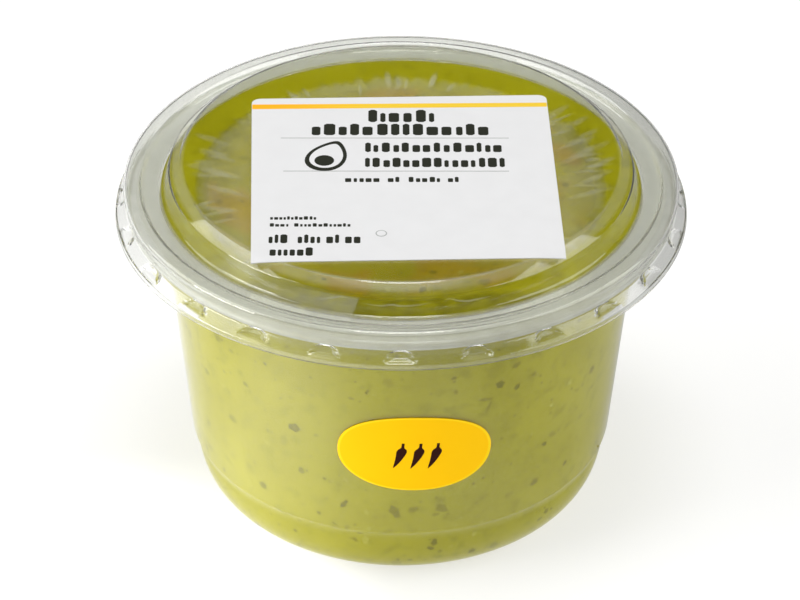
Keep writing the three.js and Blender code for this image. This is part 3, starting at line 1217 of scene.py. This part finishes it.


# A painted glow that makes the sticker brighter than the light that falls on it.
STICKER_PAINTED_GLOW = 0.25
label_paper = paper("label_paper", (0.735, 0.735, 0.737, 1), 0.4)
sticker_paper = paper("sticker_paper", (0.93, 0.53, 0.0, 1), 0.35, STICKER_PAINTED_GLOW)
label_underside = paper("label_underside", (0.85, 0.85, 0.8, 1), 0.6, 0.8)
# The sticker's paler edge is a painted highlight.
sticker_edge_highlight = paper("sticker_rim_highlight", (0.97, 0.63, 0.01, 1), 0.35, STICKER_PAINTED_GLOW)
black_ink = paper("black_ink", (0.028, 0.030, 0.022, 1), 0.4)
grey_ink = paper("grey_ink", (0.42, 0.43, 0.42, 1), 0.4)
brown_ink = paper("brown_ink", (0.035, 0.006, 0.003, 1), 0.4)

# %% [markdown]
# ## Label on the lid
# The label is a square of coated white paper. It lies flat on the raised centre, and its two front
# corners reach past the centre's edge, where nothing holds them, so they droop a little. A plain box
# couldn't bend, so the sheet is a closed slab over a grid of small faces, each put where it hangs.

# %% Label
LABEL_W = 61.4
LABEL_BACK = 30.0
LABEL_FRONT = -30.9
LABEL_CORNER = 1.8
LABEL_X = 0.5
LABEL_Y = -6.8
LABEL_TURN = 0.033
LABEL_THICK = 0.16
LABEL_Z = LID_TOP + 0.03
LABEL_STEP = 1.2
LABEL_COLUMNS = 54
FACING_DOWN = -0.9
CORNER_ROWS = 6
CORNER_START = 0.3
DROOP = 0.5
DROOP_REACH = 5.0


def label_drop(x, y):
    """How far the paper hangs at a place, in mm: nothing on the centre, more past its edge."""
    past = min(max((math.hypot(x, y) - PLATEAU_R) / DROOP_REACH, 0), 1)
    return DROOP * past * past


def on_label(x, y, lift=0.0):
    """A place on the label, in the label's own mm, as a point in metres."""
    flat = Matrix.Rotation(LABEL_TURN, 2) @ Vector((x, y)) + Vector((LABEL_X, LABEL_Y))
    return Vector((flat.x, flat.y, LABEL_Z + lift - label_drop(*flat))) * MM


def slab(name, grid, thick, place):
    """A thin closed sheet over a grid of rows of (x, y) places, put in place by a function."""
    rows, columns = len(grid), len(grid[0])
    vertices = [place(x, y, lift) for lift in (0.0, thick) for row in grid for x, y in row]
    layer = rows * columns
    faces = []
    for i in range(rows - 1):
        for a in range(i * columns, (i + 1) * columns - 1):
            under = (a, a + columns, a + columns + 1, a + 1)
            faces += [under, tuple(corner + layer for corner in under[::-1])]
    border = list(range(columns))
    border += [i * columns + columns - 1 for i in range(1, rows)]
    border += [(rows - 1) * columns + j for j in range(columns - 2, -1, -1)]
    border += [i * columns for i in range(rows - 2, 0, -1)]
    faces += [(a, b, b + layer, a + layer) for a, b in zip(border, border[1:] + border[:1])]
    return new_piece(name, vertices, faces, SHEET_SHARP)


def label_rows():
    """The label's grid. The two back corners are rounded, by pulling the rows near them in."""
    straight = LABEL_BACK - LABEL_CORNER
    ys = list(np.linspace(LABEL_FRONT, straight, round((straight - LABEL_FRONT) / LABEL_STEP)))
    angles = np.linspace(CORNER_START, math.pi / 2, CORNER_ROWS)
    ys += [straight + LABEL_CORNER * math.sin(angle) for angle in angles]
    rows = []
    for y in ys:
        near = max(0.0, (y - straight) / LABEL_CORNER)
        half = LABEL_W / 2 - LABEL_CORNER * (1 - math.sqrt(max(0.0, 1 - near * near)))
        rows.append([(half * share, y) for share in np.linspace(-1, 1, LABEL_COLUMNS)])
    return rows


label = slab("lid_label_paper", label_rows(), LABEL_THICK, on_label)
label.data.materials.append(label_paper)
label.data.materials.append(label_underside)
below = [int(face.normal.z < FACING_DOWN) for face in label.data.polygons]
label.data.polygons.foreach_set("material_index", below)
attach(label, "root")
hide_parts("lid_label")
report(label)

# %% [markdown]
# ## Print on the label
# Real print is ink a few hundredths of a millimetre thick. Plain bars stand where a pack has its words,
# with the weight and rhythm of type but no letters, and a halved avocado marks what is inside. Each
# ink is one mesh of small closed slabs that follow the paper, so the print bends where the label does.

# %% Slabs of ink
INK_THICK = 0.02
PRINT_TURN = -0.027
INK_STEP = 2.0
ROUND_END = 0.12
NARROWEST = 0.02


def on_print(x, y, lift=0.0):
    """A place in the print's own frame, which is turned a little on the label."""
    flat = Matrix.Rotation(PRINT_TURN, 2) @ Vector((x, y))
    return on_label(flat.x, flat.y, LABEL_THICK + lift)


def row(middle, half, y):
    """Five places from left to right."""
    return [(middle + half * side, y) for side in (-1, -0.5, 0, 0.5, 1)]


def disc_rows(width, x, y):
    """Rows of a filled disc."""
    return [
        row(x, width / 2 * max(math.cos(angle), NARROWEST), y + math.sin(angle) * width / 2)
        for angle in np.linspace(-math.pi / 2, math.pi / 2, 13)
    ]


def bar_rows(left, bottom, right, top):
    """Rows of a plain bar with small round ends, cut into steps so that it can bend."""
    steps = max(2, math.ceil((right - left) / INK_STEP) + 1)
    tall = top - bottom
    rows = []
    for share in (-1, -0.8, 0, 0.8, 1):
        inset = (abs(share) == 1) * ROUND_END * tall
        height = (bottom + top) / 2 + share * tall / 2
        rows.append([(x, height) for x in np.linspace(left + inset, right - inset, steps)])
    return rows


def joined(name, pieces, material):
    """Several meshes as one piece with one ink."""
    vertices, faces = [], []
    for part in pieces:
        first = len(vertices)
        vertices += [vertex.co.copy() for vertex in part.data.vertices]
        faces += [[corner + first for corner in polygon.vertices] for polygon in part.data.polygons]
        bpy.data.objects.remove(part)
    piece = new_piece(name, vertices, faces, SHEET_SHARP)
    piece.data.materials.append(material)
    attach(piece, "root")
    report(piece)


# %% Word-like bars
TALL_SHARE = 0.35
SHORT_HEIGHT = 0.74
STROKE = (0.35, 0.75)
SPACES = (0.22, 0.22, 0.3)
LEAST_LETTER = 0.3


def word_bars(left, bottom, right, top, letter, seed):
    """A line of plain strokes of letter width. Some are tall and most are short, as in type."""
    random = np.random.default_rng(seed)
    bars, x = [], left
    while x < right - LEAST_LETTER * letter:
        width = min(letter * random.uniform(*STROKE), right - x)
        height = (top - bottom) * (1 if random.random() < TALL_SHARE else SHORT_HEIGHT)
        bars.append(slab("bar", bar_rows(x, bottom, x + width, bottom + height), INK_THICK, on_print))
        x += width + letter * random.choice(SPACES)
    return bars


# Each line is its left, bottom, right and top, and the width of a letter.
WORD_LINES = [
    (-7.2, 20.0, 6.4, 24.8, 3.0),
    (-18.8, 14.9, 17.8, 19.3, 3.2),
    (-7.8, 8.4, 20.7, 12.0, 2.5),
    (-7.8, 2.7, 20.5, 6.2, 2.5),
    (-11.8, -2.9, -4.9, -1.0, 1.7),
    (-3.2, -2.9, -0.6, -1.0, 1.7),
    (1.0, -2.9, 7.3, -1.0, 1.7),
    (8.9, -2.9, 11.4, -1.0, 1.7),
    (-26.5, -16.7, -17.0, -15.5, 1.15),
    (-26.5, -19.2, -22.5, -18.0, 1.15),
    (-21.7, -19.2, -10.2, -18.0, 1.15),
    (-26.6, -25.1, -22.0, -22.0, 1.9),
    (-20.9, -25.1, -16.5, -22.0, 1.9),
    (-15.3, -25.1, -12.8, -22.0, 1.9),
    (-11.6, -25.1, -8.6, -22.0, 1.9),
    (-26.3, -29.5, -17.6, -26.6, 1.9),
]
black_parts = []
for number, word_line in enumerate(WORD_LINES):
    black_parts += word_bars(*word_line, seed=number)

# %% Mark of a halved avocado
MARK_X = -15.4
MARK_Y = 7.0
MARK_H = 11.8
MARK_TILT = -0.35
PEAR_HALF = 0.42
PEAR_NARROWS = 0.38
PEAR_BEND = 0.16
FLESH_SHARE = 0.8
PIT_SHARE = 0.34
PIT_LOW = 0.17


def pear_rows(size):
    """Rows of a pear shape with its stem end up."""
    rows = []
    for angle in np.linspace(-math.pi / 2, math.pi / 2, 17):
        up = math.sin(angle)
        narrow = 1 - PEAR_NARROWS * (up + 1) / 2 - PEAR_BEND * max(up, 0) ** 2
        rows.append(row(0, PEAR_HALF * size * max(math.cos(angle), NARROWEST) * narrow, up * size / 2))
    return rows


def on_mark(layer):
    """Puts a layer of the mark in its place on the label."""
    def place(x, y, lift):
        flat = Matrix.Rotation(MARK_TILT, 2) @ Vector((x, y))
        return on_print(flat.x + MARK_X, flat.y + MARK_Y, lift + layer * INK_THICK)
    return place


def on_ink(x, y, lift):
    """A place on top of a first layer of ink."""
    return on_print(x, y, lift + INK_THICK)


black_parts.append(slab("skin", pear_rows(MARK_H), INK_THICK, on_mark(0)))
black_parts.append(slab("pit", disc_rows(PIT_SHARE * MARK_H, 0, -PIT_LOW * MARK_H), INK_THICK, on_mark(2)))
joined("label_black_print", black_parts, black_ink)
flesh = slab("flesh", pear_rows(FLESH_SHARE * MARK_H), INK_THICK, on_mark(1))
joined("label_mark_flesh", [flesh], label_paper)

# %% Rules and a ring
DOT = (-4.5, -21.6)
grey_parts = [
    slab("rule", bar_rows(-25.1, 13.65, 21.6, 13.9), INK_THICK, on_print),
    slab("rule", bar_rows(-24.3, 1.05, 21.3, 1.3), INK_THICK, on_print),
    slab("dot", disc_rows(2.3, *DOT), INK_THICK, on_print),
]
joined("label_grey_rules", grey_parts, grey_ink)
joined("label_dot_middle", [slab("dot", disc_rows(1.8, *DOT), INK_THICK, on_ink)], label_paper)

# %% Stripe
STRIPE = [[(-30.6, 25.9), (30.6, 25.3)], [(-30.6, 27.7), (30.6, 26.9)]]
STRIPE_COLUMNS = 30
STRIPE_START = (0.98, 0.45, 0.02, 1)
STRIPE_END = (0.86, 0.58, 0.05, 1)
STRIPE_TURNS = (-31 * MM, -2 * MM)
STRIPE_ROUGH = 0.4
STRIPE_SHINE = 0.1


def stripe_rows():
    """The stripe, from edge to edge of the label."""
    shares = np.linspace(0, 1, STRIPE_COLUMNS)
    return [[tuple(Vector(left).lerp(Vector(right), share)) for share in shares] for left, right in STRIPE]


def stripe_ink():
    """Ink that runs from orange at the left to yellow at the right."""
    material, tree = new_material("stripe_ink")
    share = remap(tree, parts(tree, own_place(tree))[0], *STRIPE_TURNS, 0.0, 1.0, smooth=True)
    roughness = times(tree, STRIPE_ROUGH, uneven(tree, *PAPER_ROUGH_UNEVEN))
    return matt(material, blend(tree, share, STRIPE_START, STRIPE_END), roughness, STRIPE_SHINE)


def on_face(x, y, lift):
    """A place on the label's printed face."""
    return on_label(x, y, LABEL_THICK + lift)


joined("label_stripe", [slab("stripe", stripe_rows(), INK_THICK, on_face)], stripe_ink())

# %% [markdown]
# ## Sticker on the tub
# The oval sticker is wrapped round the tapered wall. It is drawn flat, then each point is carried onto
# the wall: its distance along becomes an angle, and its height sets the wall's radius there.

# %% Sticker
STICKER_HALF_W = 15.6
STICKER_HALF_H = 9.6
STICKER_POWER = 2.2
STICKER_ARC = 2.95
STICKER_Z = 35.65
STICKER_TURN = -0.045
STICKER_THICK = 0.15
STICKER_GAP = 0.03
STICKER_SIDES = 96
STICKER_SHARES = (0.2, 0.4, 0.6, 0.8, 0.965, 1.0)  # the last band is the rim


def on_wall(x, y, lift=0.0):
    """A place on the sticker, in its own mm, as a point on the tub's wall in metres."""
    along, up = Matrix.Rotation(STICKER_TURN, 2) @ Vector((x, y))
    height = STICKER_Z + up
    radius = wall_radius(height) + STICKER_GAP + lift
    angle = (STICKER_ARC + along) / wall_radius(STICKER_Z)
    return Vector((radius * math.sin(angle), -radius * math.cos(angle), height)) * MM


def superpower(value):
    """A sine or cosine, pulled out towards a squared oval."""
    return math.copysign(abs(value) ** (2 / STICKER_POWER), value)


def oval_ring(share, lift):
    """One ring of the oval on the wall."""
    ring = []
    for k in range(STICKER_SIDES):
        angle = 2 * math.pi * k / STICKER_SIDES
        x = STICKER_HALF_W * share * superpower(math.cos(angle))
        y = STICKER_HALF_H * share * superpower(math.sin(angle))
        ring.append(on_wall(x, y, lift))
    return ring


def make_sticker():
    """A closed lens of rings, front and back, with a paler edge that is a painted highlight."""
    vertices = []
    for lift in (STICKER_THICK, 0.0):
        vertices.append(on_wall(0, 0, lift))
        for share in STICKER_SHARES:
            vertices += oval_ring(share, lift)
    back = len(vertices) // 2
    bands = len(STICKER_SHARES) - 1
    last = 1 + bands * STICKER_SIDES
    faces, rim = [], []
    for k in range(STICKER_SIDES):
        ahead = (k + 1) % STICKER_SIDES
        faces += [(0, 1 + k, 1 + ahead), (back, back + 1 + ahead, back + 1 + k)]
        rim += [0, 0]
        for band in range(bands):
            a = 1 + band * STICKER_SIDES
            b = a + STICKER_SIDES
            faces.append((a + k, b + k, b + ahead, a + ahead))
            faces.append((back + a + k, back + a + ahead, back + b + ahead, back + b + k))
            rim += [int(band == bands - 1), 0]
        faces.append((last + k, back + last + k, back + last + ahead, last + ahead))
        rim.append(1)
    piece = new_piece("oval_sticker", vertices, faces, SHEET_SHARP)
    piece.data.materials.append(sticker_paper)
    piece.data.materials.append(sticker_edge_highlight)
    piece.data.polygons.foreach_set("material_index", rim)
    return piece


sticker = make_sticker()
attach(sticker, "root")
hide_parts("tub_sticker")
report(sticker)

# %% Mark on the sticker: three peppers for how hot it is
PEPPER_H = 6.6
PEPPER_W = 2.1
PEPPER_BEND = 1.7
PEPPER_PLACES = (-3.0, 0.5, 4.0)
PEPPER_LOW = -0.4
PEPPER_MEAN_BEND = 0.3
TAPER = 1.15
TAPER_POWER = 0.7
BODY = 0.8  # the share of the height below the stalk
SHOULDER = (0.62, 0.2)  # where the shoulder starts, and how tall it is
STALK_FROM = 0.7
STALK_HALF = 0.14
TIP_HALF = 0.04


def pepper_rows(x):
    """Rows of a curved pepper: a thin tip below, full shoulders, and a short stalk on top."""
    rows = []
    for share in np.linspace(0, 1, 21):
        taper = min(1.0, TAPER * (share / BODY) ** TAPER_POWER)
        past = max(0.0, (share - SHOULDER[0]) / SHOULDER[1])
        shoulder = math.sqrt(max(0.0, 1 - past * past))
        least = STALK_HALF if share > STALK_FROM else TIP_HALF
        half = max(taper * shoulder / 2, least) * PEPPER_W
        middle = x - PEPPER_BEND * ((1 - share) ** 2 - PEPPER_MEAN_BEND)
        rows.append(row(middle, half, PEPPER_LOW + PEPPER_H * (share - 0.5)))
    return rows


def on_sticker(x, y, lift):
    """A place on the sticker's face."""
    return on_wall(x, y, STICKER_THICK + lift)


peppers = [slab("pepper", pepper_rows(x), INK_THICK, on_sticker) for x in PEPPER_PLACES]
joined("sticker_peppers", peppers, brown_ink)

# %% [markdown]
# ## Floor
# The tub stands on a plain pale disc. The disc glows a little, so that shadows on it stay faint, and
# has a brighter pool at the front left, which the tub's wall mirrors as its soft highlight. To the
# right of the tub, what the wall mirrors of the floor is darker.

# %% Floor
FLOOR_R = 1.0
FLOOR_SIDES = 96
FLOOR_TONE = 0.42
FLOOR_UNEVEN = (0.1, 0.01)
FLOOR_GLOW = 0.63
FLOOR_ROUGH = 0.9
FLOOR_SHINE = 0.1
POOL_PLACE = (-0.058, -0.058, 0)
POOL_R = 0.062
POOL_GLOW = 1.45
SHADE_DEPTH = 0.7
SHADE_FROM = (25 * MM, 60 * MM)


def make_floor():
    """A plain pale disc that glows a little, so that shadows on it stay faint."""
    material, tree = new_material("pale_floor")
    tone = times(tree, FLOOR_TONE, uneven(tree, *FLOOR_UNEVEN))
    place = own_place(tree)
    away = put(tree, "ShaderNodeVectorMath", {0: place, 1: POOL_PLACE}, operation="DISTANCE").outputs["Value"]
    pool = remap(tree, away, 0.0, POOL_R, POOL_GLOW, 0.0, smooth=True)
    shade = remap(tree, parts(tree, place)[0], *SHADE_FROM, 0.0, SHADE_DEPTH, smooth=True)
    mirrored = put(tree, "ShaderNodeLightPath").outputs["Is Glossy Ray"]
    shade = calc(tree, "SUBTRACT", 1.0, times(tree, shade, mirrored))
    colour = put(tree, "ShaderNodeCombineColor", {0: tone, 1: tone, 2: tone}).outputs[0]
    matt(material, colour, FLOOR_ROUGH, FLOOR_SHINE, {
        "Emission Color": (1, 1, 1, 1),
        "Emission Strength": plus(tree, times(tree, FLOOR_GLOW, shade), pool),
    })
    angles = [2 * math.pi * k / FLOOR_SIDES for k in range(FLOOR_SIDES)]
    edge = [(FLOOR_R * math.cos(angle), FLOOR_R * math.sin(angle), 0) for angle in angles]
    piece = new_piece("floor", edge, [tuple(range(FLOOR_SIDES))])
    piece.data.materials.append(material)
    return piece


make_floor()


# %% [markdown]
# ## Light
# Clear plastic shows what it mirrors, so the light is set by that: two softboxes at the sides, which
# the skirt mirrors, a low one that brightens the tub's left, a small one above, and dark walls, so that
# the lid's flat centre stays clear. Only the ceiling is bright, and the lid's front shoulder mirrors it.

# %% Softboxes
AIM = Vector((0, 0, 0.04))


def softbox(name, azimuth, elevation, distance, width, height, power):
    """A large soft area light that faces the middle of the tub. Its angles are in degrees."""
    data = bpy.data.lights.new(name, "AREA")
    data.shape = "RECTANGLE"
    data.size = width
    data.size_y = height
    data.energy = power
    lamp = new_object(name, data)
    a, e = math.radians(azimuth), math.radians(elevation)
    place = AIM + distance * Vector((math.sin(a) * math.cos(e), -math.cos(a) * math.cos(e), math.sin(e)))
    turn = (AIM - place).to_track_quat("-Z", "Y").to_matrix().to_4x4()
    lamp.matrix_world = Matrix.Translation(place) @ turn


softbox("left_softbox", -88, 34, 1.3, 1.3, 0.8, 11)
softbox("low_left_softbox", -70, 13, 1.2, 0.6, 0.3, 7)
softbox("right_softbox", 80, 34, 1.3, 1.2, 0.9, 10)
softbox("top_softbox", 0, 86, 1.2, 0.4, 0.4, 4.5)


# %% Studio walls
WALLS_SEEN = 0.9
WALLS_MIRRORED = 0.01
HORIZON = 0.1
HORIZON_BACK = (-0.3, 0.3)
HORIZON_TOP = (0.1, 0.4)
CEILING = 1.2
CEILING_FROM = (0.91, 0.96)


def make_world():
    """Pale where the camera looks. What the plastic mirrors is dark, but for the horizon at the back and
    the ceiling."""
    world = bpy.data.worlds.new("studio")
    world.use_nodes = True
    bpy.context.scene.world = world
    tree = world.node_tree
    _, y, z = parts(tree, put(tree, "ShaderNodeTexCoord").outputs["Generated"])
    behind = remap(tree, y, *HORIZON_BACK, 0.0, HORIZON, smooth=True)
    low = times(tree, behind, remap(tree, z, *HORIZON_TOP, 1.0, 0.0, smooth=True))
    ceiling = remap(tree, z, *CEILING_FROM, 0.0, CEILING, smooth=True)
    mirrored = plus(tree, low, ceiling, WALLS_MIRRORED)
    seen = put(tree, "ShaderNodeLightPath").outputs["Is Camera Ray"]
    background = tree.nodes["Background"]
    background.inputs["Color"].default_value = (1, 1, 1, 1)
    tree.links.new(remap(tree, seen, 0.0, 1.0, mirrored, WALLS_SEEN), background.inputs["Strength"])


make_world()

# %% How far light is followed
bpy.context.scene.view_settings.view_transform = "Standard"
bounces = {"max": 24, "transmission": 24, "transparent_max": 24, "glossy": 8, "diffuse": 4}
for kind, count in bounces.items():
    setattr(bpy.context.scene.cycles, kind + "_bounces", count)
print("light bounces:", bounces)
